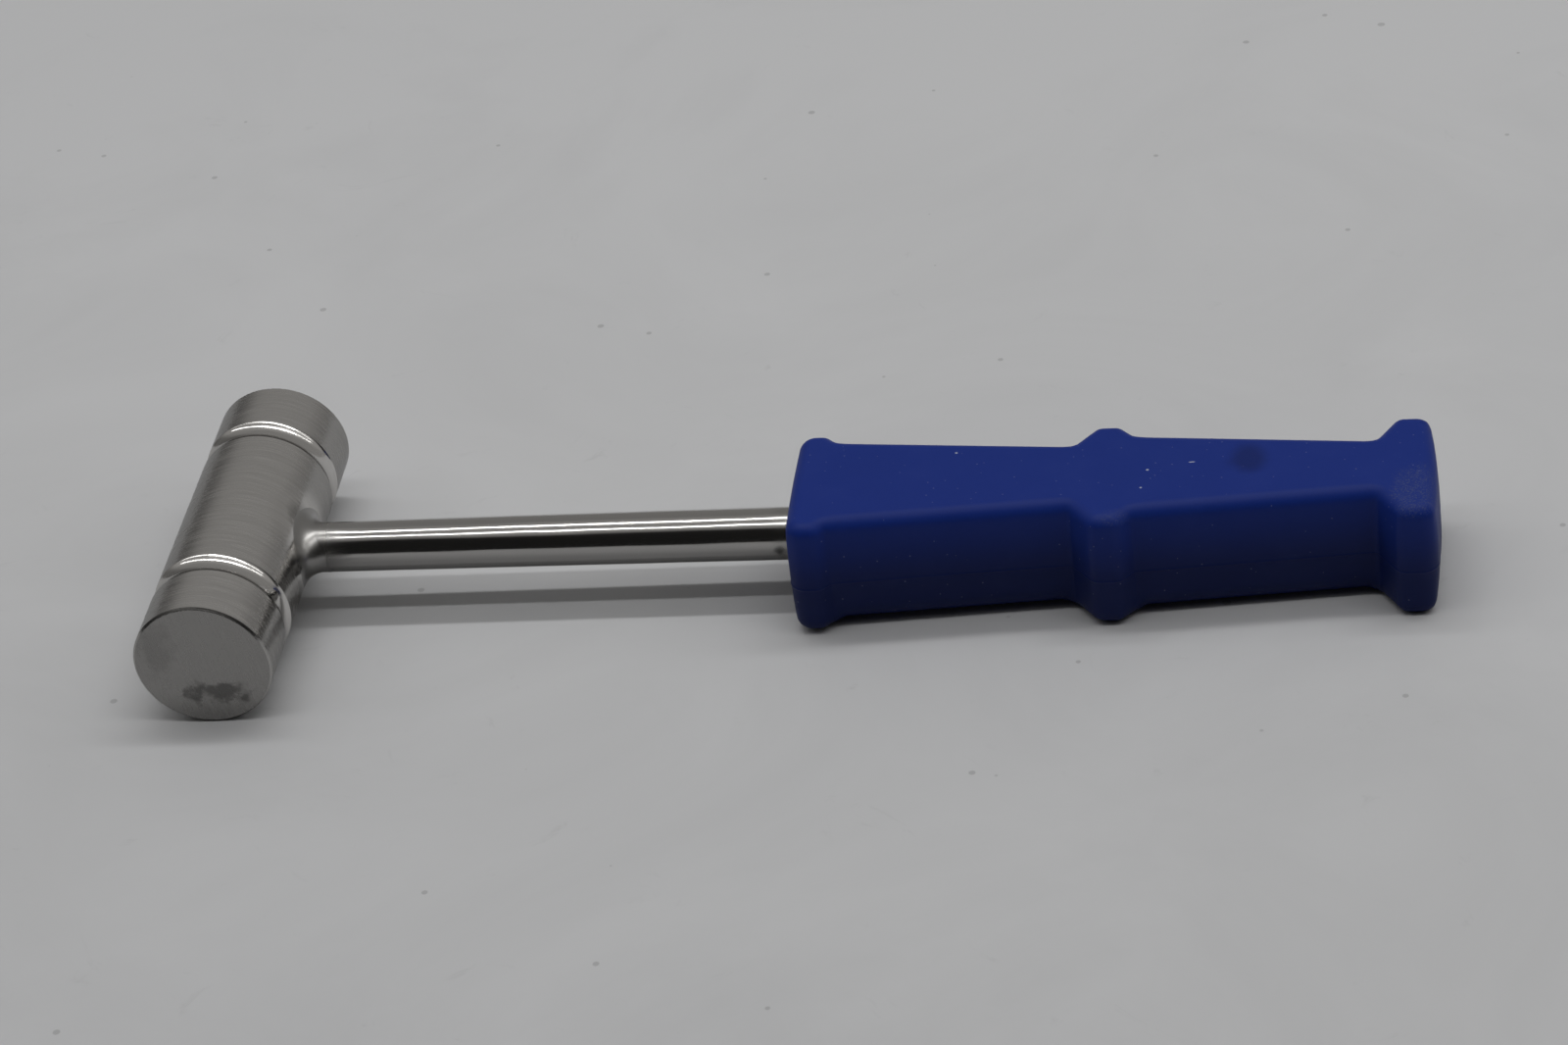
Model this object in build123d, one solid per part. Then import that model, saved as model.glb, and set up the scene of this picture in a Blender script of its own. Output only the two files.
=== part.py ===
from build123d import *
import os
from math import asin, atan2, degrees, hypot

os.makedirs("parts", exist_ok=True)

# A surgical mallet: a grooved steel head welded to a round steel shaft, with a moulded grip.
# Lengths are in millimetres. The mallet is first built along its own axes: X runs along the
# shaft from the head's centre to the grip, and the head's axis is Y. It is then laid down on
# its head and on the back end of its grip, and centred over the origin of the plane Z = 0.

# Head, turned from round bar
head_diameter = 30.0
head_length = 85.0
face_chamfer = 0.5
groove_from_end = 16.9
groove_width = 6.0
groove_depth = 1.0

# Shaft, with its end in a blind socket of the head
shaft_diameter_at_head = 11.0
shaft_diameter_at_grip = 11.5
shaft_taper_end = 116.0
socket_floor = 7.0
socket_clearance = 0.02

# Weld between the head and the shaft, ground to a hollow blend that runs out just below both
weld_radius = 5.0
weld_rim_sink = 0.05

# Tang, the thinner end of the shaft inside the grip, with ring grooves that hold the grip
shaft_depth_in_grip = 8.0
tang_diameter = 8.0
tang_length = 112.0
tang_groove_diameter = 6.4
tang_groove_width = 5.0
tang_groove_count = 3
mould_clearance = 0.02

# Grip, moulded round the tang: a flat slab with three flanges and two tapered waists
grip_start = 123.0
grip_height = 27.3
grip_front_bulge = 0.3
grip_back_bulge = 1.0
grip_corner_radius = 3.6
grip_outer_bend_radius = 3.2
grip_inner_bend_radius = 1.5
grip_edge_radius = 2.8

# Stretches of the grip, from its front end to its back end
front_flange_length = 6.4
front_fall_length = 2.3
front_waist_length = 51.1
middle_rise_length = 4.9
middle_flange_length = 5.5
middle_fall_length = 3.1
back_waist_length = 50.6
back_rise_length = 4.6
back_flange_length = 7.8

# Half widths of the grip, from its front end to its back end
front_flange_half_width = 18.5
front_waist_half_width_at_front = 16.2
front_waist_half_width_at_back = 11.9
middle_flange_half_width = 18.4
back_waist_half_width_at_front = 14.9
back_waist_half_width_at_back = 10.3
back_flange_half_width = 18.1

# Places worked out from the sizes above
head_radius = head_diameter / 2
groove_centre = head_length / 2 - groove_from_end
shaft_shoulder = grip_start + shaft_depth_in_grip
tang_end = shaft_shoulder + tang_length

# Lengths closer than this are the same length
rounding_error = 1e-4


def turned_head():
    """The head: a round bar with two hollow grooves, and a blind socket for the shaft."""
    half = head_length / 2
    outline = [Line((0, -half), (head_radius - face_chamfer, -half)),
               Line((head_radius - face_chamfer, -half), (head_radius, -half + face_chamfer))]
    start = (head_radius, -half + face_chamfer)
    for centre in (-groove_centre, groove_centre):
        groove_start = (head_radius, centre - groove_width / 2)
        groove_end = (head_radius, centre + groove_width / 2)
        outline.append(Line(start, groove_start))
        outline.append(ThreePointArc(groove_start, (head_radius - groove_depth, centre), groove_end))
        start = groove_end
    outline.append(Polyline(start, (head_radius, half - face_chamfer),
                            (head_radius - face_chamfer, half), (0, half), (0, -half)))
    bar = revolve(make_face(Curve() + outline), Axis.Y)
    return bar - socket()


def socket():
    """The space of the head's socket, which runs out past the head's surface."""
    radius = shaft_diameter_at_head / 2 + socket_clearance
    depth = head_diameter - socket_floor
    return Pos(socket_floor, 0, 0) * Rot(0, 90, 0) * Cylinder(
        radius, depth, align=(Align.CENTER, Align.CENTER, Align.MIN))


def bar_points(gap):
    """Points (x, radius) of the shaft and its tang, grown outwards by the gap."""
    shaft_radius = shaft_diameter_at_grip / 2 + gap
    tang_radius = tang_diameter / 2 + gap
    groove_radius = tang_groove_diameter / 2 + gap
    points = [(socket_floor, shaft_diameter_at_head / 2 + gap), (shaft_taper_end, shaft_radius),
              (shaft_shoulder + gap, shaft_radius), (shaft_shoulder + gap, tang_radius)]
    for index in range(tang_groove_count):
        centre = shaft_shoulder + tang_length * (index + 1) / (tang_groove_count + 1)
        front = centre - tang_groove_width / 2 + gap
        back = centre + tang_groove_width / 2 - gap
        points += [(front, tang_radius), (front, groove_radius), (back, groove_radius), (back, tang_radius)]
    points.append((tang_end + gap, tang_radius))
    return points


def turned_bar(gap):
    """The shaft and its tang as one turned bar, or with a gap the space that holds it."""
    points = bar_points(gap)
    outline = Polyline((points[0][0], 0), *points, (points[-1][0], 0), close=True)
    return revolve(make_face(outline), Axis.X)


def weld_blend():
    """The weld metal: a ring with a hollow blend, which lies between the head and the shaft."""
    sunk_head = Rot(90, 0, 0) * Cylinder(head_radius - weld_rim_sink, head_length)
    joined = sunk_head + turned_bar(-weld_rim_sink)
    mouth = Vector(head_radius, 0, 0)
    curved = joined.edges().filter_by(GeomType.LINE, reverse=True)
    seam = [edge for edge in curved if edge.distance_to(mouth) < shaft_diameter_at_head]
    head_bar = Rot(90, 0, 0) * Cylinder(head_radius, head_length)
    return fillet(seam, weld_radius) - head_bar - turned_bar(0)


def grip_side():
    """Points (x, half width) along one side of the grip, from its front end to its back end."""
    stretches = [(0, front_flange_half_width),
                 (front_flange_length, front_flange_half_width),
                 (front_fall_length, front_waist_half_width_at_front),
                 (front_waist_length, front_waist_half_width_at_back),
                 (middle_rise_length, middle_flange_half_width),
                 (middle_flange_length, middle_flange_half_width),
                 (middle_fall_length, back_waist_half_width_at_front),
                 (back_waist_length, back_waist_half_width_at_back),
                 (back_rise_length, back_flange_half_width),
                 (back_flange_length, back_flange_half_width)]
    x = grip_start + grip_front_bulge
    points = []
    for length, half_width in stretches:
        x += length
        points.append((x, half_width))
    return points


def grip_plan():
    """The outline of the grip seen from above, with bulged ends and sharp bends."""
    side = grip_side()
    other_side = [(x, -half_width) for x, half_width in reversed(side)]
    front_end = ThreePointArc(other_side[-1], (grip_start, 0), side[0])
    back_end = ThreePointArc(side[-1], (side[-1][0] + grip_back_bulge, 0), other_side[0])
    return make_face(Curve() + [front_end, Polyline(*side), back_end, Polyline(*other_side)])


def moulded_grip():
    """The grip: a slab with round corners, bends and rims, moulded round the shaft and its tang."""
    slab = extrude(grip_plan(), grip_height / 2, both=True)
    upright = slab.edges().filter_by(Axis.Z).sort_by(Axis.X)
    corners = upright[:2] + upright[-2:]
    slab = fillet(corners, grip_corner_radius)
    slab = fillet(upright_edges_at(slab, outer_bends()), grip_outer_bend_radius)
    slab = fillet(upright_edges_at(slab, inner_bends()), grip_inner_bend_radius)
    flat_faces = slab.faces().filter_by(Axis.Z)
    rims = flat_faces[0].edges() + flat_faces[-1].edges()
    return fillet(rims, grip_edge_radius) - turned_bar(mould_clearance)


def outer_bends():
    """The bends (x, half width) where a flange ends."""
    side = grip_side()
    return [side[1], side[4], side[5], side[8]]


def inner_bends():
    """The bends (x, half width) where a waist ends."""
    side = grip_side()
    return [side[2], side[3], side[6], side[7]]


def upright_edges_at(slab, bends):
    """The slab's upright edges that stand on the given bends, on both sides of the grip."""
    return [edge for edge in slab.edges().filter_by(Axis.Z)
            if any(hypot(edge.center().X - x, abs(edge.center().Y) - half_width) < rounding_error
                   for x, half_width in bends)]


def resting_tilt():
    """The angle in degrees by which the grip drops when its back edge meets the plane."""
    reach = grip_side()[-1][0] + grip_back_bulge - grip_edge_radius
    drop = grip_height / 2 - grip_edge_radius
    lift = head_radius - grip_edge_radius
    return degrees(asin(lift / hypot(reach, drop)) - atan2(drop, reach))


def laid_down(pieces):
    """The pieces turned down onto the plane Z = 0, and centred over the origin."""
    turned = [Pos(0, 0, head_radius) * Rot(0, resting_tilt(), 0) * piece for piece in pieces]
    box = Compound(turned).bounding_box()
    centring = Pos(-(box.min.X + box.max.X) / 2, -(box.min.Y + box.max.Y) / 2, -box.min.Z)
    return [centring * piece for piece in turned]


names = ["head", "shaft", "weld", "grip"]
solids = laid_down([turned_head(), turned_bar(0), weld_blend(), moulded_grip()])
for name, solid in zip(names, solids):
    export_step(solid, f"parts/{name}.step")
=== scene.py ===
from math import asin, atan2, ceil, cos, hypot, pi, radians, sin, sqrt, tan

import bmesh
import bpy
import numpy as np
from bpy.props import FloatProperty, FloatVectorProperty, IntProperty, PointerProperty
from mathutils import Matrix, Vector


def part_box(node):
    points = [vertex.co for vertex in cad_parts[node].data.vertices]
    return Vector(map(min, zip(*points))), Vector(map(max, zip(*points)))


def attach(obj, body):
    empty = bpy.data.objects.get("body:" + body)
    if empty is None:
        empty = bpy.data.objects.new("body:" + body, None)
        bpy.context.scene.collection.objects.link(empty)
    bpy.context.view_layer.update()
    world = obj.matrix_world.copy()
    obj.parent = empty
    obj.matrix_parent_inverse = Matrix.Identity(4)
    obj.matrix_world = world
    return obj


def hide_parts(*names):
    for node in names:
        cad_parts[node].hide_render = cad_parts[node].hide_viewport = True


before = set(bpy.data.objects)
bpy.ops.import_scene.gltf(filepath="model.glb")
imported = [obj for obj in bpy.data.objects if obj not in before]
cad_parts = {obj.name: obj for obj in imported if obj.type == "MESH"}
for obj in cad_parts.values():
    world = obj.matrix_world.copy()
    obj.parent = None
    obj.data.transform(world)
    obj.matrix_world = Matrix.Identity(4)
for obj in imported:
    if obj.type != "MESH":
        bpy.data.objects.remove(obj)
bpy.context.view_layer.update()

bl_info = {
    "name": "Surgical mallet",
    "version": (1, 0, 0),
    "blender": (4, 5, 0),
    "location": "3D View > Sidebar > Mallet",
    "description": "Builds a surgical mallet: a grooved steel head, a ground steel shaft and a moulded grip",
    "category": "Object",
}

# The mallet is worked out in its own axes, X along the shaft from the head's centre and Y along
# the head, and then laid down on the floor as the frame has it.

MM = 0.001
MERGE_DISTANCE = 0.0005 * MM
BLACK = (0.0, 0.0, 0.0, 1.0)
HEAD_SEGMENTS = 240
SHAFT_SEGMENTS = 144
BORE_SEGMENTS = 96
WELD_RINGS = 144
WELD_STEPS = 16
head_low, head_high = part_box("head")


# Settings: sizes and colours

def length(name, description, default):
    """A length setting, with its default in metres."""
    return FloatProperty(name=name, description=description, default=default, min=0.0,
                         precision=5, unit="LENGTH")


def share(name, description, default):
    """A setting from 0 to 1."""
    return FloatProperty(name=name, description=description, default=default, min=0.0, max=1.0,
                         subtype="FACTOR")


def rotation(name, description, default):
    """An angle setting, with its default in degrees."""
    return FloatProperty(name=name, description=description, default=radians(default),
                         precision=4, subtype="ANGLE")


def colour(name, description, default):
    """A colour setting, in linear red, green and blue."""
    return FloatVectorProperty(name=name, description=description, default=default, size=3,
                               min=0.0, max=1.0, subtype="COLOR")


class HeadSettings(bpy.types.PropertyGroup):
    """Sizes and finish of the steel head."""
    diameter: length("Diameter", "Diameter of the head", head_high.z - head_low.z)
    span: length("Length", "Length of the head between its striking faces",
                 head_high.y - head_low.y)
    groove_from_end: length("Groove place", "From a striking face to the middle of its groove",
                            16.9 * MM)
    groove_width: length("Groove width", "Width of a grip groove", 6.0 * MM)
    groove_depth: length("Groove depth", "Depth of a grip groove", 1.0 * MM)
    bevel: length("Bevel", "Bevel round a striking face", 0.5 * MM)
    steel: colour("Steel", "Colour of the brushed steel", (0.63, 0.615, 0.595))
    roughness: share("Roughness", "Roughness of the brushed barrel", 0.24)
    polish: share("Polish", "Roughness of the polished grooves", 0.13)
    brush_depth: length("Brush depth", "Depth of the brushing lines", 0.024 * MM)


class ShaftSettings(bpy.types.PropertyGroup):
    """Sizes and finish of the steel shaft and of its weld."""
    head_diameter: length("Diameter at head", "Diameter of the shaft at the head", 11.0 * MM)
    grip_diameter: length("Diameter at grip", "Diameter of the shaft at the grip", 11.5 * MM)
    taper_end: length("Taper end", "Where the shaft reaches its full diameter", 116.0 * MM)
    socket_floor: length("Socket floor", "From the head's middle to the shaft's end", 7.0 * MM)
    shoulder: length("Shoulder", "Where the tang starts, inside the grip", 131.0 * MM)
    tang_diameter: length("Tang diameter", "Diameter of the tang inside the grip", 8.0 * MM)
    tang_length: length("Tang length", "Length of the tang inside the grip", 112.0 * MM)
    tang_groove_diameter: length("Tang groove diameter", "Diameter in the tang's rings",
                                 6.4 * MM)
    tang_groove_width: length("Tang groove width", "Width of each of the tang's rings",
                              5.0 * MM)
    tang_grooves: IntProperty(name="Tang grooves", description="Number of rings in the tang",
                              default=3, min=0, max=8)
    clearance: length("Clearance", "Room round the shaft in the head and in the grip",
                      0.02 * MM)
    blend: length("Blend", "Radius of the ground blend between shaft and head", 5.0 * MM)
    unevenness: length("Unevenness", "How far hand grinding strays from round", 0.05 * MM)
    steel: colour("Steel", "Colour of the polished steel", (0.49, 0.48, 0.465))
    polish: share("Polish", "Roughness of the polished shaft", 0.13)


class GripSettings(bpy.types.PropertyGroup):
    """Sizes and finish of the moulded grip."""
    start: length("Start", "From the head's middle to the grip", 123.0 * MM)
    height: length("Height", "Height of the grip between its flat sides", 27.3 * MM)
    front_bulge: length("Front bulge", "How far the front end bulges", 0.3 * MM)
    back_bulge: length("Back bulge", "How far the back end bulges", 1.0 * MM)
    corner_radius: length("Corner radius", "Radius of the four upright corners", 4.0 * MM)
    outer_bend: length("Outer bend", "Radius of the bends where a flange ends", 3.2 * MM)
    inner_bend: length("Inner bend", "Radius of the bends where a waist ends", 1.5 * MM)
    flange_edge: length("Flange edge", "Radius of the long edges on the flanges", 2.8 * MM)
    waist_top_edge: length("Waist top edge", "Radius of the waists' top edges", 3.2 * MM)
    waist_bottom_edge: length("Waist bottom edge", "Radius of the waists' bottom edges",
                              5.5 * MM)
    side_crown: length("Side crown", "How far the sides swell at mid-height", 0.25 * MM)
    front_crown: length("Front crown", "How far the front end swells at mid-height", 0.4 * MM)
    back_crown: length("Back crown", "How far the back end swells at mid-height", 0.9 * MM)
    parting_drop: length("Parting drop", "How far the parting line is below mid-height",
                         2.2 * MM)
    parting_ridge: length("Parting ridge", "Height of the ridge along the parting line",
                          0.12 * MM)
    stretches: FloatVectorProperty(
        name="Stretches", size=9, unit="LENGTH", precision=5,
        description="Lengths of the flanges, falls, waists and rises, from front to back",
        default=[mm * MM for mm in (6.4, 2.3, 51.1, 4.9, 5.5, 3.1, 50.6, 4.6, 7.8)])
    half_widths: FloatVectorProperty(
        name="Half widths", size=10, unit="LENGTH", precision=5,
        description="Half width of the grip at each end of each stretch, from front to back",
        default=[mm * MM for mm in (18.5, 18.5, 16.2, 11.9, 18.4, 18.4, 14.9, 10.3, 18.1, 18.1)])
    rubber: colour("Rubber", "Colour of the moulded rubber", (0.0068, 0.0276, 0.222))
    dust: colour("Dust", "Colour of the dusty, rubbed places", (0.085, 0.105, 0.20))
    roughness: share("Roughness", "Roughness of the rubber", 0.5)


class StageSettings(bpy.types.PropertyGroup):
    """The floor, the lamps and the camera."""
    floor: colour("Floor", "Colour of the floor", (0.655, 0.66, 0.67))
    floor_size: length("Floor size", "Side of the square floor", 6.0)
    lamp_height: length("Lamp height", "Height of the strip lamps", 1.6)
    lamp_width: length("Lamp width", "Width of a strip lamp", 0.10)
    lamp_radiance: FloatProperty(name="Lamp radiance", description="Brightness of a strip lamp",
                                 default=11.0, min=0.0)
    lens: FloatProperty(name="Lens", description="Focal length of the camera on a 36 mm frame",
                        default=91.785, unit="CAMERA")
    camera_place: FloatVectorProperty(name="Camera place", size=3, unit="LENGTH", precision=5,
                                      description="Where the camera is, from the head's middle",
                                      default=(0.2515, -0.70103, 0.48832))
    camera_turn: rotation("Camera turn", "Turn of the camera from straight across", 10.57)
    camera_pitch: rotation("Camera pitch", "How far the camera looks up, or down if negative", -34.28)
    camera_roll: rotation("Camera roll", "Roll of the camera about its view", -7.99)


class MalletSettings(bpy.types.PropertyGroup):
    """All settings of the mallet."""
    head: PointerProperty(type=HeadSettings)
    shaft: PointerProperty(type=ShaftSettings)
    grip: PointerProperty(type=GripSettings)
    stage: PointerProperty(type=StageSettings)


# Node trees

class Wire:
    """An output socket. Arithmetic on it adds the Math nodes that work it out."""

    def __init__(self, bench, socket):
        self.bench = bench
        self.socket = socket

    def math(self, operation, *values):
        return self.bench.add("ShaderNodeMath", {"operation": operation}, values)

    def __add__(self, other):
        return self.math("ADD", self, other)

    def __radd__(self, other):
        return self.math("ADD", other, self)

    def __sub__(self, other):
        return self.math("SUBTRACT", self, other)

    def __rsub__(self, other):
        return self.math("SUBTRACT", other, self)

    def __mul__(self, other):
        return self.math("MULTIPLY", self, other)

    def __rmul__(self, other):
        return self.math("MULTIPLY", other, self)

    def __truediv__(self, other):
        return self.math("DIVIDE", self, other)

    def __rtruediv__(self, other):
        return self.math("DIVIDE", other, self)

    def __abs__(self):
        return self.math("ABSOLUTE", self)

    def floor(self):
        return self.math("FLOOR", self)

    def rise(self, start, end):
        """0 before start and 1 past end, with a soft step between them."""
        return self.bench.add("ShaderNodeMapRange", {"interpolation_type": "SMOOTHSTEP"},
                              {"Value": self, "From Min": start, "From Max": end})

    def fall(self, start, end):
        """1 before start and 0 past end, with a soft step between them."""
        return 1 - self.rise(start, end)

    def out(self, name):
        """Another output of the same node."""
        return Wire(self.bench, pick(self.socket.node.outputs, name))

    def parts(self):
        """The three numbers of a vector."""
        node = self.bench.add("ShaderNodeSeparateXYZ", {}, [self])
        return node, node.out("Y"), node.out("Z")


class Bench:
    """A node tree, with the one method that adds a node to it."""

    def __init__(self, tree):
        self.tree = tree

    def add(self, kind, settings, inputs, output=0):
        """Adds a node: its settings first, then the values or links of its inputs."""
        node = self.tree.nodes.new(kind)
        for name, value in settings.items():
            setattr(node, name, value)
        pairs = inputs.items() if isinstance(inputs, dict) else enumerate(inputs)
        for name, value in pairs:
            socket = pick(node.inputs, name)
            if isinstance(value, Wire):
                self.tree.links.new(value.socket, socket)
            else:
                socket.default_value = value
        return Wire(self, pick(node.outputs, output)) if node.outputs else node

    def vector(self, x, y, z):
        return self.add("ShaderNodeCombineXYZ", {}, [x, y, z])

    def noise(self, vector, scale=1.0, detail=2.0, roughness=0.5, distortion=0.0):
        """Soft noise from 0 to 1."""
        return self.add("ShaderNodeTexNoise", {}, {
            "Vector": vector, "Scale": scale, "Detail": detail, "Roughness": roughness,
            "Distortion": distortion})

    def mix(self, factor, first, second):
        """A colour that goes from the first to the second."""
        return self.add("ShaderNodeMix", {"data_type": "RGBA"}, {
            "Factor_Float": factor, "A_Color": first, "B_Color": second}, "Result_Color")

    def shaded(self, tone, full):
        """A colour that goes from black to its full value."""
        return self.mix(tone, BLACK, full)

    def patch(self, vector, centre, sizes, ragged, rim):
        """1 inside a patch and 0 outside it, with a ragged rim between two distances."""
        return (self.distance(vector, centre, sizes) + ragged).fall(*rim)

    def distance(self, vector, centre, sizes):
        """Distance from a centre, in units of the three sizes."""
        shifted = self.add("ShaderNodeVectorMath", {"operation": "SUBTRACT"}, [vector, centre])
        scaled = self.add("ShaderNodeVectorMath", {"operation": "DIVIDE"}, [shifted, sizes])
        return self.add("ShaderNodeVectorMath", {"operation": "LENGTH"}, [scaled],
                        output="Value")


def pick(sockets, name):
    """A socket by its place, its identifier or its name."""
    if isinstance(name, int):
        return sockets[name]
    for socket in sockets:
        if socket.identifier == name:
            return socket
    return sockets[name]


def rgba(tone, scale=1.0):
    """A colour setting as the four numbers of a socket."""
    return (*(channel * scale for channel in tone), 1.0)


def new_finish(name):
    """A new material, with its bench and its shader node."""
    material = bpy.data.materials.new(name)
    material.use_nodes = True
    nodes = material.node_tree.nodes
    return material, Bench(material.node_tree), nodes["Principled BSDF"]


def wire_up(bench, shader, inputs):
    """Sets or links the inputs of a shader node."""
    for name, value in inputs.items():
        if isinstance(value, Wire):
            bench.tree.links.new(value.socket, shader.inputs[name])
        else:
            shader.inputs[name].default_value = value


def mallet_point(bench, turned):
    """The shaded point in millimetres from the head's middle, in the floor's or the shaft's axes."""
    here = bench.add("ShaderNodeTexCoord", {}, [], output="Object")
    turn = (0.0, resting_tilt() if turned else 0.0, 0.0)
    return bench.add("ShaderNodeMapping", {"vector_type": "TEXTURE"}, {
        "Vector": here, "Location": head_middle(), "Rotation": turn, "Scale": (MM, MM, MM)})


# Placing

def head_middle():
    """The middle of the head, where the axes of head and shaft meet."""
    return (head_low + head_high) / 2


def resting_tilt():
    """The angle by which the grip drops when its back edge meets the floor."""
    grip = bpy.context.scene.mallet.grip
    radius = bpy.context.scene.mallet.head.diameter / 2
    reach = (grip.start + grip.front_bulge + sum(grip.stretches) + grip.back_bulge
             - grip.flange_edge)
    drop = grip.height / 2 - grip.flange_edge
    return asin((radius - grip.flange_edge) / hypot(reach, drop)) - atan2(drop, reach)


def laid_down():
    """The matrix that lays the mallet down from its own axes."""
    return Matrix.Translation(head_middle()) @ Matrix.Rotation(resting_tilt(), 4, "Y")


# Meshes

def mesh_piece(name, points, faces):
    """A new object of points and faces, with doubles merged, faces outwards and smooth shading."""
    mesh = bpy.data.meshes.new(name)
    mesh.from_pydata([tuple(point) for point in points], [], faces)
    piece = bpy.data.objects.new(name, mesh)
    bpy.context.scene.collection.objects.link(piece)
    tidy_mesh(mesh)
    return piece


def tidy_mesh(mesh):
    """Merges doubles, turns the faces outwards and shades them smooth up to sharp edges."""
    work = bmesh.new()
    work.from_mesh(mesh)
    bmesh.ops.remove_doubles(work, verts=work.verts, dist=MERGE_DISTANCE)
    bmesh.ops.recalc_face_normals(work, faces=work.faces)
    for face in work.faces:
        face.smooth = True
    work.to_mesh(mesh)
    work.free()
    mesh.set_sharp_from_angle(angle=radians(32))


def made_plain(piece):
    """Applies the modifiers of a piece by keeping its evaluated mesh."""
    graph = bpy.context.evaluated_depsgraph_get()
    mesh = bpy.data.meshes.new_from_object(piece.evaluated_get(graph))
    mesh.name = piece.name
    piece.modifiers.clear()
    piece.data = mesh
    return piece


def bored(piece, cutter):
    """Takes the cutter's space out of a piece, and removes the cutter."""
    bore = piece.modifiers.new("Bore", "BOOLEAN")
    bore.operation = "DIFFERENCE"
    bore.solver = "EXACT"
    bore.object = cutter
    made_plain(piece)
    bpy.data.objects.remove(cutter)
    tidy_mesh(piece.data)
    return piece


def settled(piece, node):
    """Hands a finished piece to the frame, in place of the CAD node."""
    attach(piece, "root")
    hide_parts(node)


# Turned pieces

def turning_tree():
    """A Geometry Nodes tree that turns a profile of points (along, radius, 0) round the X axis."""
    known = bpy.data.node_groups.get("turned_bar")
    if known:
        return known
    tree = bpy.data.node_groups.new("turned_bar", "GeometryNodeTree")
    tree.is_modifier = True
    for name, kind in [("Profile", "Geometry"), ("Segments", "Int"), ("Unevenness", "Float"),
                       ("Uneven From", "Float"), ("Finish", "Material")]:
        tree.interface.new_socket(name, in_out="INPUT", socket_type="NodeSocket" + kind)
    tree.interface.new_socket("Turned", in_out="OUTPUT", socket_type="NodeSocketGeometry")
    bench = Bench(tree)
    given = bench.add("NodeGroupInput", {}, [])
    segments = given.out("Segments")
    columns = segments + 1
    count = bench.add("GeometryNodeAttributeDomainSize", {"component": "MESH"}, [given])
    grid = bench.add("GeometryNodeMeshGrid", {}, {"Vertices X": count, "Vertices Y": columns})
    index = bench.add("GeometryNodeInputIndex", {}, [])
    row = ((index + 0.5) / columns).floor()
    turn = (index - row * columns) / segments * (2 * pi)
    profile = bench.add("GeometryNodeSampleIndex", {"data_type": "FLOAT_VECTOR"}, {
        "Geometry": given, "Value": bench.add("GeometryNodeInputPosition", {}, []),
        "Index": row})
    along, radius, _ = profile.parts()
    side = turn.math("SINE", turn)
    up = turn.math("COSINE", turn)
    lump_length, run_in, core = 24 * MM, 6 * MM, 1 * MM
    lumps = bench.noise(bench.vector(along / lump_length, side, up), scale=1.3, detail=1.0)
    ground = (lumps - 0.5) * 2 * given.out("Unevenness") * along.rise(
        given.out("Uneven From"), given.out("Uneven From") + run_in)
    reach = radius + ground * radius.rise(0.0, core)
    placed = bench.add("GeometryNodeSetPosition", {}, {
        "Geometry": grid, "Position": bench.vector(along, reach * side, reach * up)})
    merged = bench.add("GeometryNodeMergeByDistance", {}, {
        "Geometry": placed, "Distance": MERGE_DISTANCE})
    smooth = bench.add("GeometryNodeSetShadeSmooth", {}, {"Geometry": merged})
    real = bench.add("GeometryNodeRealizeInstances", {}, [smooth])
    finished = bench.add("GeometryNodeSetMaterial", {}, {
        "Geometry": real, "Material": given.out("Finish")})
    bench.add("NodeGroupOutput", {}, [finished])
    return tree


def turned(name, profile, segments, finish=None, unevenness=0.0, uneven_from=0.0):
    """A piece turned from a profile of points (along, radius), in its own axes."""
    mesh = bpy.data.meshes.new(name)
    mesh.from_pydata([(along, radius, 0) for along, radius in profile], [], [])
    piece = bpy.data.objects.new(name, mesh)
    bpy.context.scene.collection.objects.link(piece)
    lathe = piece.modifiers.new("Lathe", "NODES")
    lathe.node_group = turning_tree()
    sizes = {"Segments": segments, "Unevenness": unevenness, "Uneven From": uneven_from,
             "Finish": finish}
    for item in lathe.node_group.interface.items_tree:
        if item.name in sizes:
            lathe[item.identifier] = sizes[item.name]
    made_plain(piece)
    tidy_mesh(piece.data)
    return piece


def head_profile(head):
    """Points (along, radius) of the head, with a hollow groove near each end."""
    half, radius = head.span / 2, head.diameter / 2
    soft = 0.12 * MM
    outside_groove = [place * MM for place in (8.0, 4.0, 1.0, 0.2, 0.05)]
    inside_groove = [place * MM for place in (0.05, 0.2, 1.0, 3.0, 6.0)]
    round_middle = [place * MM for place in (14.0, 12.0, 10.0, 8.0, 6.0, 4.0, 2.0)]
    groove_steps = 24
    points = [(half, 0.0), (half, radius * 0.5), (half, radius - head.bevel - soft),
              (half, radius - head.bevel), (half - soft, radius - head.bevel + soft),
              (half - head.bevel + soft, radius - soft), (half - head.bevel, radius),
              (half - head.bevel - soft, radius)]
    centre = half - head.groove_from_end
    edge = head.groove_width / 2
    hollow = (edge ** 2 + head.groove_depth ** 2) / (2 * head.groove_depth)
    points += [(centre + edge + place, radius) for place in outside_groove]
    for step in range(-groove_steps, groove_steps + 1):
        along = -edge * step / groove_steps
        drop = sqrt(hollow ** 2 - along ** 2) - hollow + head.groove_depth
        points.append((centre + along, radius - drop))
    points += [(centre - edge - place, radius) for place in inside_groove]
    points += [(place, radius) for place in round_middle]
    return points + [(0.0, radius)] + [(-along, away) for along, away in reversed(points)]


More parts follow.
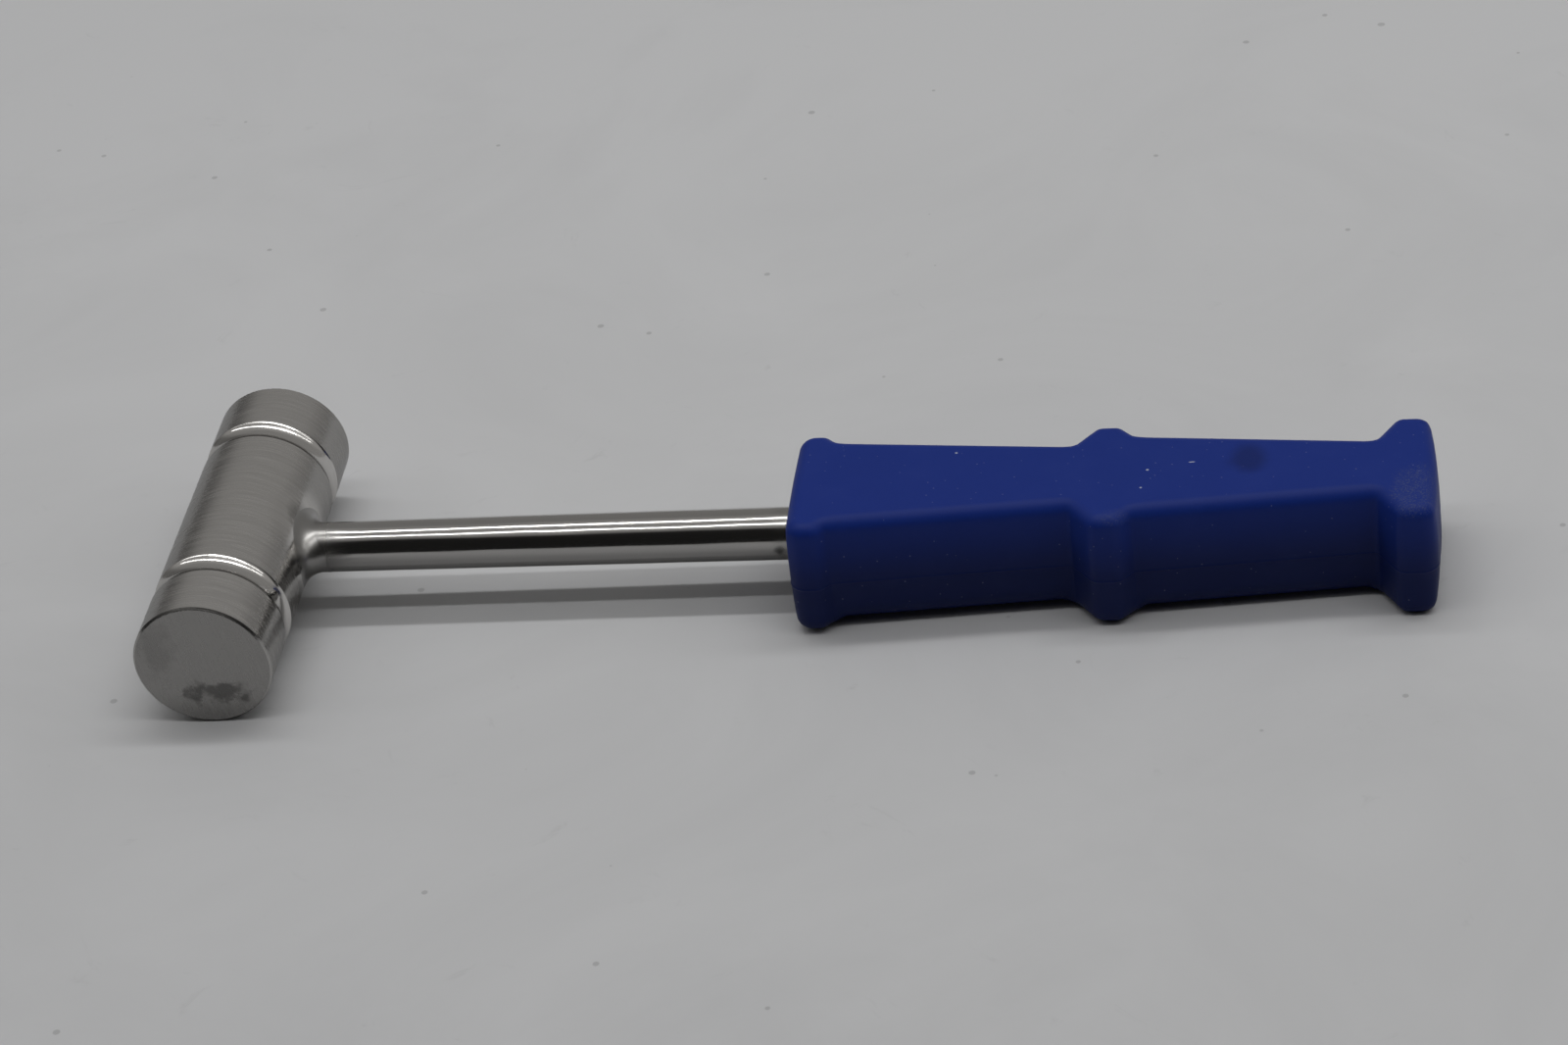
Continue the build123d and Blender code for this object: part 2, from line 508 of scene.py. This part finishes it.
def bar_corners(shaft, gap):
    """Points (along, radius) of the shaft and its tang, grown outwards by the gap."""
    full = shaft.grip_diameter / 2 + gap
    tang = shaft.tang_diameter / 2 + gap
    ring = shaft.tang_groove_diameter / 2 + gap
    end = shaft.shoulder + shaft.tang_length + gap
    corners = [(shaft.socket_floor, 0.0), (shaft.socket_floor, shaft.head_diameter / 2 + gap),
               (shaft.taper_end, full), (shaft.shoulder + gap, full),
               (shaft.shoulder + gap, tang)]
    for number in range(shaft.tang_grooves):
        centre = shaft.shoulder + shaft.tang_length * (number + 1) / (shaft.tang_grooves + 1)
        front = centre - shaft.tang_groove_width / 2 + gap
        back = centre + shaft.tang_groove_width / 2 - gap
        corners += [(front, tang), (front, ring), (back, ring), (back, tang)]
    return corners + [(end, tang), (end, 0.0)]


def close_set(corners, step):
    """The corners of a profile with more points between them, no further apart than the step."""
    points = [corners[0]]
    for (along, radius), (next_along, next_radius) in zip(corners, corners[1:]):
        runs = max(1, ceil(abs(next_along - along) / step))
        for run in range(1, runs + 1):
            part = run / runs
            points.append((along + (next_along - along) * part,
                           radius + (next_radius - radius) * part))
    return points


def bar_cutter(shaft):
    """The space that the shaft and its tang take up in the head and in the grip."""
    return turned("bar_space", bar_corners(shaft, shaft.clearance), BORE_SEGMENTS)


# The weld

def weld_ring(head, shaft, rings, steps):
    """Points and faces of the ground blend: the hollow of a ball rolled round the joint."""
    ball = shaft.blend
    bar = shaft.head_diameter / 2
    barrel = head.diameter / 2
    points, faces = [], []
    for ring in range(rings):
        turn = 2 * pi * ring / rings
        away = bar + ball
        middle = Vector((sqrt((barrel + ball) ** 2 - (away * sin(turn)) ** 2),
                         away * cos(turn), away * sin(turn)))
        on_bar = Vector((middle.x, bar * cos(turn), bar * sin(turn)))
        shrink = barrel / (barrel + ball)
        on_head = Vector((middle.x * shrink, middle.y, middle.z * shrink))
        corner = Vector((sqrt(barrel ** 2 - (bar * sin(turn)) ** 2),
                         bar * cos(turn), bar * sin(turn)))
        for step in range(steps + 1):
            spoke = (on_bar - middle).normalized().slerp((on_head - middle).normalized(),
                                                         step / steps)
            points.append(middle + spoke * ball)
        points.append(corner)
    around = steps + 2
    for ring in range(rings):
        for step in range(around):
            here, there = ring * around, (ring + 1) % rings * around
            other = (step + 1) % around
            faces.append((here + step, here + other, there + other, there + step))
    return points, faces


# The grip

def grip_places(grip):
    """Points (along, half width) at the ends of the grip's stretches, from front to back."""
    along = grip.start + grip.front_bulge
    places = [(along, grip.half_widths[0])]
    for stretch, half_width in zip(grip.stretches, grip.half_widths[1:]):
        along += stretch
        places.append((along, half_width))
    return places


def grip_corners(grip):
    """The grip's outline from above as corners (x, y, rounding radius), clockwise."""
    places = grip_places(grip)
    corner, outer, inner = grip.corner_radius, grip.outer_bend, grip.inner_bend
    radii = [corner, outer, inner, inner, outer, outer, inner, inner, outer, corner]
    left = [(x, y, radius) for (x, y), radius in zip(places, radii)]
    right = [(x, -y, radius) for x, y, radius in reversed(left)]
    return (left + bulged_end(left[-1], grip.back_bulge)
            + right + bulged_end(right[-1], -grip.front_bulge))


def bulged_end(corner, bulge):
    """Corners along a bulged end of the grip, from one of its upright edges to the other."""
    x, y, _ = corner
    parts = [0.6, 0.45, 0.3, 0.15, 0.0, -0.15, -0.3, -0.45, -0.6]
    return [(x + bulge * (1 - part ** 2), y * part, 0.0) for part in parts]


def rounded_outline(corners, step):
    """Points of a closed outline whose corners are rounded, no further apart than the step."""
    nearly_straight = 1.5
    arc_step = 0.35 * MM
    points = []
    for index, (x, y, radius) in enumerate(corners):
        corner = Vector((x, y))
        before = (Vector(corners[index - 1][:2]) - corner).normalized()
        after = (Vector(corners[(index + 1) % len(corners)][:2]) - corner).normalized()
        half_angle = before.angle(after) / 2
        if radius == 0.0 or half_angle > nearly_straight:
            points.append(corner)
            continue
        reach = radius / tan(half_angle)
        middle = corner + (before + after).normalized() * (radius / sin(half_angle))
        first, last = corner + before * reach - middle, corner + after * reach - middle
        steps = max(4, ceil((pi - 2 * half_angle) * radius / arc_step))
        points += [middle + first.slerp(last, part / steps) * radius
                   for part in range(steps + 1)]
    filled = []
    for point, following in zip(points, points[1:] + points[:1]):
        runs = max(1, ceil((following - point).length / step))
        filled += [point.lerp(following, run / runs) for run in range(runs)]
    return np.array([tuple(point) for point in filled])


def outward(outline):
    """Unit vectors that point out of a clockwise outline."""
    ahead = np.roll(outline, -1, axis=0) - outline
    ahead /= np.linalg.norm(ahead, axis=1, keepdims=True)
    behind = np.roll(ahead, 1, axis=0)
    along = ahead + behind
    along /= np.linalg.norm(along, axis=1, keepdims=True)
    return np.stack([-along[:, 1], along[:, 0]], axis=1)


def grip_levels(grip, top_edge, bottom_edge):
    """Heights and rim insets of the rings of points round the grip, from its top to its bottom."""
    half = grip.height / 2
    rim = [radians(90 - 9 * step) for step in range(10)]
    level = np.zeros_like(top_edge)
    levels = [(half - top_edge * (1 - sin(angle)), top_edge * (1 - cos(angle))) for angle in rim]
    levels += [(share_up * (half - top_edge), level)
               for share_up in (0.97, 0.87, 0.75, 0.6, 0.45, 0.3, 0.15, 0.0)]
    levels += [(offset * MM - grip.parting_drop + level, level)
               for offset in (0.5, 0.3, 0.18, 0.08, 0.0, -0.08, -0.18, -0.3, -0.5)]
    levels += [(-share_down * (half - bottom_edge), level)
               for share_down in (0.42, 0.55, 0.7, 0.85, 0.97)]
    return levels + [(bottom_edge * (1 - sin(angle)) - half, bottom_edge * (1 - cos(angle)))
                     for angle in reversed(rim)]


def flange_share(places, along):
    """1 on the flanges and their falls, and 0 on the waists, with a soft change between them."""
    settle = 2.0 * MM
    waist_ends = [places[2][0], places[3][0], places[6][0], places[7][0]]
    knots = [waist_ends[0], waist_ends[0] + settle, waist_ends[1] - settle, waist_ends[1],
             waist_ends[2], waist_ends[2] + settle, waist_ends[3] - settle, waist_ends[3]]
    return np.interp(along, knots, [1, 0, 0, 1, 1, 0, 0, 1])


def grip_mesh(grip):
    """Points and faces of the moulded grip, in its own axes."""
    outline_step, ridge_width, flat, end_facing = 1.0 * MM, 0.22 * MM, 0.04 * MM, 0.75
    outline = rounded_outline(grip_corners(grip), outline_step)
    normals = outward(outline)
    places = grip_places(grip)
    flange = flange_share(places, outline[:, 0])
    top_edge = grip.waist_top_edge + (grip.flange_edge - grip.waist_top_edge) * flange
    bottom_edge = grip.waist_bottom_edge + (grip.flange_edge - grip.waist_bottom_edge) * flange
    facing = np.clip((np.abs(normals[:, 0]) - end_facing) / (1 - end_facing), 0, 1)
    front = facing * (outline[:, 0] < places[0][0] + MM)
    back = facing * (outline[:, 0] > places[-1][0] - MM)
    crown = (grip.side_crown + (grip.front_crown - grip.side_crown) * front
             + (grip.back_crown - grip.side_crown) * back)
    half = grip.height / 2
    rings = []
    for z, rim_inset in grip_levels(grip, top_edge, bottom_edge):
        inset = rim_inset + crown * (z / half) ** 2
        ridge = np.exp(-((z + grip.parting_drop) / ridge_width) ** 2) * grip.parting_ridge
        rings.append((outline - normals * (inset - ridge)[:, None], z))
    first, last = rings[0], rings[-1]
    rings.insert(0, (first[0] - normals * flat, first[1]))
    rings.append((last[0] - normals * flat, last[1]))
    points = np.concatenate([np.column_stack([plan, z]) for plan, z in rings])
    count = len(outline)
    faces = []
    for ring in range(len(rings) - 1):
        here = ring * count
        faces += [(here + step, here + (step + 1) % count,
                   here + count + (step + 1) % count, here + count + step)
                  for step in range(count)]
    faces.append(tuple(range(count)))
    faces.append(tuple(range(len(points) - count, len(points))))
    return points, faces


# Finishes

def brushed_steel(head):
    """Turned and brushed steel, polished in the grooves, sanded and bruised on the faces, with painted light
    and shade round the barrel and painted shade on the faces.
    """
    material, bench, shader = new_finish("brushed_steel")
    here = mallet_point(bench, turned=False)
    x, y, z = here.parts()
    across = abs(y)
    angle = x.math("ARCTAN2", x, z)
    half = head.span / 2 / MM
    face = across.rise(half - 0.10, half - 0.05)
    groove_centre = half - head.groove_from_end / MM
    groove_edge = head.groove_width / 2 / MM
    groove = abs(across - groove_centre).fall(groove_edge - 0.1, groove_edge + 0.05)
    joint = bench.distance(here, (head.diameter / 2 / MM, 0, 0), (1, 1, 1))
    blotch = bench.noise(here, scale=0.12, detail=3.0)
    near_joint = (joint + blotch * 4).fall(11.0, 17.0)
    polished = groove + near_joint - groove * near_joint

    turning = bench.noise(bench.vector(y * 2.2, angle * 1.6, 0.0), detail=4.0, roughness=0.7)
    leaning = bench.vector(x * 1.6 + z * 0.3, z * 0.10, y)
    sanding = bench.noise(leaning, detail=4.0, roughness=0.65)
    lines = turning * (1 - face) + sanding * face
    height = lines * (1 - polished * 0.9) * (1 - face * 0.4)
    bump = bench.add("ShaderNodeBump", {}, {
        "Strength": 1.0, "Distance": head.brush_depth, "Height": height})

    rings = bench.noise(bench.vector(y * 1.3, angle * 0.8, 0.0), detail=4.0, roughness=0.7)
    patches = bench.noise(here, scale=0.22, detail=4.0, roughness=0.6)
    worn = (rings * (1 - face) + (sanding * 0.6 + patches * 0.4) * face).rise(0.3, 0.7)
    # Painted light and shade round the barrel: its tone runs from 0.68 at the sides and underneath to 1.04
    # near the top.
    painted_top_light = angle.rise(-0.9, 0.05) * angle.fall(0.55, 1.1)
    barrel = (0.68 + painted_top_light * 0.36) * (1 - face) * (1 - polished) + face + polished * (1 - face)
    heat = bench.patch(here, (13.4, 1.6, 7.0), (2.2, 4.2, 3.4), (blotch - 0.5) * 2.2, (0.3, 1.3))
    smudge = bench.patch(here, (-9.5, -half, 3.5), (3.5, 4.0, 6.5), (patches - 0.5) * 3,
                         (0.3, 1.5))
    # Painted shade: a darker band low on the near face, where it reflects the shadowed floor.
    painted_low_face_shade = bench.patch(here, (1.2, -half, -7.4), (6.0, 4.0, 2.6), (patches - 0.5) * 4,
                       (0.4, 1.2))
    # The faces are darkened by half, partly for their duller sanded finish and partly as painted shade for
    # the shadowed floor they reflect. The smudge and the heat mark are real marks.
    dull = face * 0.50 + smudge * 0.08 + painted_low_face_shade * 0.27 + heat * 0.42
    tone = (0.93 + worn * (0.14 - face * 0.05)) * (1 - dull) * barrel
    steel = bench.shaded(tone, rgba(head.steel))
    rough = (head.roughness + (worn - 0.5) * 0.14 + face * 0.04
             - polished * (head.roughness - head.polish))
    # The Specular Tint of 0.62 darkens the barrel's grazing edges: painted shade, not a measured value of
    # steel.
    wire_up(bench, shader, {"Base Color": steel, "Metallic": 1.0, "Roughness": rough,
                            "Specular Tint": (0.62, 0.62, 0.62, 1.0), "Normal": bump})
    return material


def polished_steel(shaft):
    """Steel polished along the shaft by hand, dulled and scuffed next to the grip, with painted shade
    underneath.
    """
    material = bpy.data.materials.get("polished_steel")
    if material:
        return material
    material, bench, shader = new_finish("polished_steel")
    here = mallet_point(bench, turned=True)
    x, y, z = here.parts()
    angle = y.math("ARCTAN2", y, z)
    lengthwise = bench.noise(bench.vector(x * 0.25, angle * 30, 0.0), detail=3.0, roughness=0.6)
    cloud = bench.noise(here, scale=0.18, detail=3.0)
    scuff = bench.patch(here, (120.2, -5.4, -0.6), (1.6, 1.2, 1.5), (cloud - 0.5) * 2, (0.3, 1.2))
    near_grip = x.rise(117.5, 120.5)
    near_head = (x + (cloud - 0.5) * 4).fall(16.5, 27.0)
    # Painted shade: the side of the shaft facing the camera and the floor is up to 45% darker.
    painted_underside_shade = (0 - angle).rise(1.25, 1.75)
    scratched = bench.noise(here, scale=2.4, detail=3.0, roughness=0.6)
    bump = bench.add("ShaderNodeBump", {}, {
        "Strength": 0.5, "Distance": 0.0015 * MM,
        "Height": lengthwise + scratched * near_head * 3})
    tone = ((0.95 + (lengthwise - 0.5) * 0.12) * (1 - scuff * 0.7) * (1 - near_grip * 0.12)
            * (1 - painted_underside_shade * 0.45) * (1 - near_head * 0.25))
    steel = bench.shaded(tone, rgba(shaft.steel))
    rough = (shaft.polish + (cloud - 0.5) * 0.05 + scuff * 0.25 + near_grip * 0.06
             + near_head * 0.18)
    wire_up(bench, shader, {"Base Color": steel, "Metallic": 1.0, "Roughness": rough,
                            "Normal": bump})
    return material


def moulded_rubber(grip):
    """Blue moulded rubber with a fine grain, dust, rubbed places and a few pale nicks, and painted shade low
    on its sides.
    """
    material, bench, shader = new_finish("blue_rubber")
    here = mallet_point(bench, turned=True)
    _, _, z = here.parts()
    grain = bench.noise(here, scale=2.2, detail=4.0, roughness=0.6)
    cloud = bench.noise(here, scale=0.09, detail=4.0, roughness=0.55)
    top = z.rise(11.0, 13.2)

    motes = bench.add("ShaderNodeTexVoronoi", {}, {"Vector": here, "Scale": 0.42})
    mote_size = bench.noise(here, scale=0.37, detail=1.0)
    specks = (motes - mote_size * 0.10).fall(0.0, 0.03)
    nick_places = [(158.4, 8.6, 0.35, 0.35), (208.9, 2.3, 0.8, 0.25), (199.6, -0.1, 0.4, 0.4),
                   (198.4, -6.7, 0.3, 0.3), (228.4, -12.9, 1.1, 0.25)]
    nicks = None
    for along, across, long, wide in nick_places:
        nick = bench.patch(here, (along, across, 13.6), (long, wide, 4.0), (grain - 0.5) * 1.4,
                           (0.5, 1.1))
        nicks = nick if nicks is None else nicks.math("MAXIMUM", nicks, nick)
    smudge = bench.patch(here, (221.0, 3.1, 13.6), (4.8, 6.8, 6.0), (cloud - 0.5) * 0.8,
                         (0.35, 1.15)) * top
    rubbed_flange = bench.patch(here, (255.5, -10.5, 13.6), (5.5, 8.5, 2.6),
                                (cloud - 0.5) * 2.4 + (grain - 0.5) * 2.0, (0.4, 1.2))
    rubbed_edge = bench.patch(here, (193.0, -16.6, 12.6), (4.2, 2.4, 1.6), (cloud - 0.5) * 2.0,
                              (0.5, 1.3))
    fine = bench.noise(here, scale=3.2, detail=2.0).rise(0.48, 0.68)
    dusty = (rubbed_flange * (0.07 + fine * 0.55) + rubbed_edge * (0.05 + fine * 0.35)
             + cloud.rise(0.45, 0.75) * 0.03)
    # Painted shade: the sides grow darker towards the bottom, down to 0.36 of the full colour.
    tone = ((0.92 + (grain - 0.5) * 0.16 + (cloud - 0.5) * 0.10) * (1 - smudge * 0.36)
            * (0.36 + z.rise(-5.0, 13.2) * 0.64))
    rubber = bench.shaded(tone, rgba(grip.rubber, 1.08))
    dusted = bench.mix(dusty, rubber, rgba(grip.dust))
    marked = bench.mix(nicks.math("MAXIMUM", nicks * 0.8, specks * 0.15), dusted,
                       (0.45, 0.48, 0.58, 1.0))
    height = grain * 0.6 + cloud * 2.0
    bump = bench.add("ShaderNodeBump", {}, {
        "Strength": 0.6, "Distance": 0.012 * MM, "Height": height})
    rough = grip.roughness + (grain - 0.5) * 0.12 + dusty * 0.3
    wire_up(bench, shader, {"Base Color": marked, "Roughness": rough, "Normal": bump,
                            "Specular IOR Level": 0.16})
    return material


def floor_finish(stage):
    """A pale, plain floor with faint clouds, a little dirt, dull stains and painted light towards the back.
    """
    material, bench, shader = new_finish("floor")
    here = bench.add("ShaderNodeTexCoord", {}, [], output="Object")
    clouds = bench.noise(here, scale=9.0, detail=5.0, roughness=0.6, distortion=1.5)
    _, y, _ = here.parts()
    grit = bench.add("ShaderNodeTexVoronoi", {}, {"Vector": here, "Scale": 70.0})
    grit_size = bench.noise(here, scale=31.0, detail=1.0)
    dirt = (grit - (grit_size - 0.42) * 0.25).fall(0.0, 0.02)
    stains = bench.noise(here, scale=38.0, detail=5.0, roughness=0.7, distortion=2.5)
    # Painted light: the floor is about 10% paler towards the back than at the front.
    tone = ((0.89 + clouds * 0.18) * (0.94 + y.rise(-0.25, 0.45) * 0.10)
            * (1 - dirt * 0.25) * (1 - stains.rise(0.62, 0.80) * 0.10))
    pale = bench.shaded(tone, rgba(stage.floor))
    wire_up(bench, shader, {"Base Color": pale, "Roughness": 0.6, "Specular IOR Level": 0.3})
    return material


# Operators

class BuildHead(bpy.types.Operator):
    """Build the grooved steel head, with the socket for the shaft"""
    bl_idname = "mallet.head"
    bl_label = "Head"

    def execute(self, context):
        settings = context.scene.mallet
        piece = turned("head_piece", head_profile(settings.head), HEAD_SEGMENTS,
                       brushed_steel(settings.head))
        piece.data.transform(Matrix.Rotation(pi / 2, 4, "Z"))
        bored(piece, bar_cutter(settings.shaft))
        piece.data.transform(Matrix.Translation(head_middle()))
        settled(piece, "head")
        return {"FINISHED"}


class BuildShaft(bpy.types.Operator):
    """Build the polished shaft with its tang"""
    bl_idname = "mallet.shaft"
    bl_label = "Shaft"

    def execute(self, context):
        settings = context.scene.mallet
        shaft = settings.shaft
        profile = close_set(bar_corners(shaft, 0.0), 1.5 * MM)
        piece = turned("shaft_piece", profile, SHAFT_SEGMENTS, polished_steel(shaft),
                       shaft.unevenness, settings.head.diameter / 2 + shaft.blend)
        piece.data.transform(laid_down())
        settled(piece, "shaft")
        return {"FINISHED"}


class BuildWeld(bpy.types.Operator):
    """Build the ground blend between the shaft and the head"""
    bl_idname = "mallet.weld"
    bl_label = "Weld"

    def execute(self, context):
        settings = context.scene.mallet
        points, faces = weld_ring(settings.head, settings.shaft, WELD_RINGS, WELD_STEPS)
        piece = mesh_piece("weld_piece", points, faces)
        piece.data.transform(laid_down())
        piece.data.materials.append(polished_steel(settings.shaft))
        settled(piece, "weld")
        return {"FINISHED"}


class BuildGrip(bpy.types.Operator):
    """Build the moulded grip, with the space for the shaft and its tang"""
    bl_idname = "mallet.grip"
    bl_label = "Grip"

    def execute(self, context):
        settings = context.scene.mallet
        points, faces = grip_mesh(settings.grip)
        piece = mesh_piece("grip_piece", points, faces)
        piece.data.materials.append(moulded_rubber(settings.grip))
        bored(piece, bar_cutter(settings.shaft))
        piece.data.transform(laid_down())
        settled(piece, "grip")
        return {"FINISHED"}


class BuildStage(bpy.types.Operator):
    """Build the floor, the strip lamps, the surroundings and the camera"""
    bl_idname = "mallet.stage"
    bl_label = "Stage"

    def execute(self, context):
        stage = context.scene.mallet.stage
        lay_floor(stage)
        hang_lamps(stage)
        paint_surroundings(context.scene)
        set_camera(context.scene, stage)
        context.scene.view_settings.view_transform = "Standard"
        return {"FINISHED"}


# The stage

def lay_floor(stage):
    """A large flat floor under the mallet."""
    half = stage.floor_size / 2
    corners = [(-half, -half, 0), (half, -half, 0), (half, half, 0), (-half, half, 0)]
    mesh = bpy.data.meshes.new("floor")
    mesh.from_pydata(corners, [], [(0, 1, 2, 3)])
    mesh.materials.append(floor_finish(stage))
    floor = bpy.data.objects.new("floor", mesh)
    bpy.context.scene.collection.objects.link(floor)


def hang_lamps(stage):
    """Two rows of strip lamps along X, one in front of the mallet and one behind it."""
    gap, middle_left, middle_right = 0.05, -0.62, 1.06
    strips = [(-2.6, middle_left - gap, 0.4), (middle_left, middle_right, 1.0),
              (middle_right + gap, 2.9, 0.4)]
    rows = [(-0.33, 0.75), (0.40, 1.15)]
    for row, (y, row_share) in enumerate(rows):
        radiance = stage.lamp_radiance * row_share
        for number, (left, right, strip_share) in enumerate(strips):
            lamp = bpy.data.lights.new(f"strip_{row}_{number}", "AREA")
            lamp.shape = "RECTANGLE"
            lamp.size = right - left
            lamp.size_y = stage.lamp_width
            lamp.energy = radiance * strip_share * pi * lamp.size * lamp.size_y
            strip = bpy.data.objects.new(lamp.name, lamp)
            strip.location = ((left + right) / 2, y, stage.lamp_height)
            bpy.context.scene.collection.objects.link(strip)


def paint_surroundings(scene):
    """A soft room: dark on the camera's side, mid-grey overhead and behind the mallet."""
    world = bpy.data.worlds.new("room")
    world.use_nodes = True
    scene.world = world
    bench = Bench(world.node_tree)
    look = bench.add("ShaderNodeTexCoord", {}, [], output="Generated")
    x, y, z = look.parts()
    lean = y / z.math("MAXIMUM", z, 0.05)
    front, overhead, behind = 0.015, 0.33, 0.26
    level = (front + lean.rise(-0.70, -0.40) * (overhead - front)
             - lean.rise(0.45, 0.90) * (overhead - behind))
    side = (0 - x).rise(0.25, 0.6) * z.fall(0.2, 0.45)
    level = level * (1 - side * 0.45)
    shade = bench.shaded(level, (1.0, 0.985, 0.965, 1.0))
    world.node_tree.links.new(shade.socket, world.node_tree.nodes["Background"].inputs["Color"])


def set_camera(scene, stage):
    """The camera of the photograph's view."""
    lens = bpy.data.cameras.new("camera")
    lens.sensor_width = 36.0
    lens.sensor_fit = "HORIZONTAL"
    lens.lens = stage.lens
    lens.clip_start = 0.01
    camera = bpy.data.objects.new("camera", lens)
    turn, pitch, roll = stage.camera_turn, stage.camera_pitch, stage.camera_roll
    right = Vector((cos(turn), sin(turn), 0))
    ahead = Vector((-sin(turn) * cos(pitch), cos(turn) * cos(pitch), sin(pitch)))
    up = right.cross(ahead)
    rolled_right = right * cos(roll) + up * sin(roll)
    rolled_up = up * cos(roll) - right * sin(roll)
    axes = Matrix((rolled_right, rolled_up, -ahead)).transposed().to_4x4()
    place = head_middle() + Vector(stage.camera_place)
    camera.matrix_world = Matrix.Translation(place) @ axes
    scene.collection.objects.link(camera)
    scene.camera = camera


# The add-on

class MalletPanel(bpy.types.Panel):
    """Buttons that build the mallet piece by piece"""
    bl_idname = "VIEW3D_PT_mallet"
    bl_label = "Surgical mallet"
    bl_space_type = "VIEW_3D"
    bl_region_type = "UI"
    bl_category = "Mallet"

    def draw(self, context):
        for builder in BUILDERS:
            self.layout.operator(builder.bl_idname)


BUILDERS = (BuildHead, BuildShaft, BuildWeld, BuildGrip, BuildStage)
CLASSES = (HeadSettings, ShaftSettings, GripSettings, StageSettings, MalletSettings,
           *BUILDERS, MalletPanel)


def register():
    for entry in CLASSES:
        bpy.utils.register_class(entry)
    bpy.types.Scene.mallet = PointerProperty(type=MalletSettings)


def unregister():
    del bpy.types.Scene.mallet
    for entry in reversed(CLASSES):
        bpy.utils.unregister_class(entry)


def main():
    """Builds every piece and the stage."""
    register()
    for build in (bpy.ops.mallet.head, bpy.ops.mallet.shaft, bpy.ops.mallet.weld,
                  bpy.ops.mallet.grip, bpy.ops.mallet.stage):
        build()


if __name__ == "__main__":
    main()
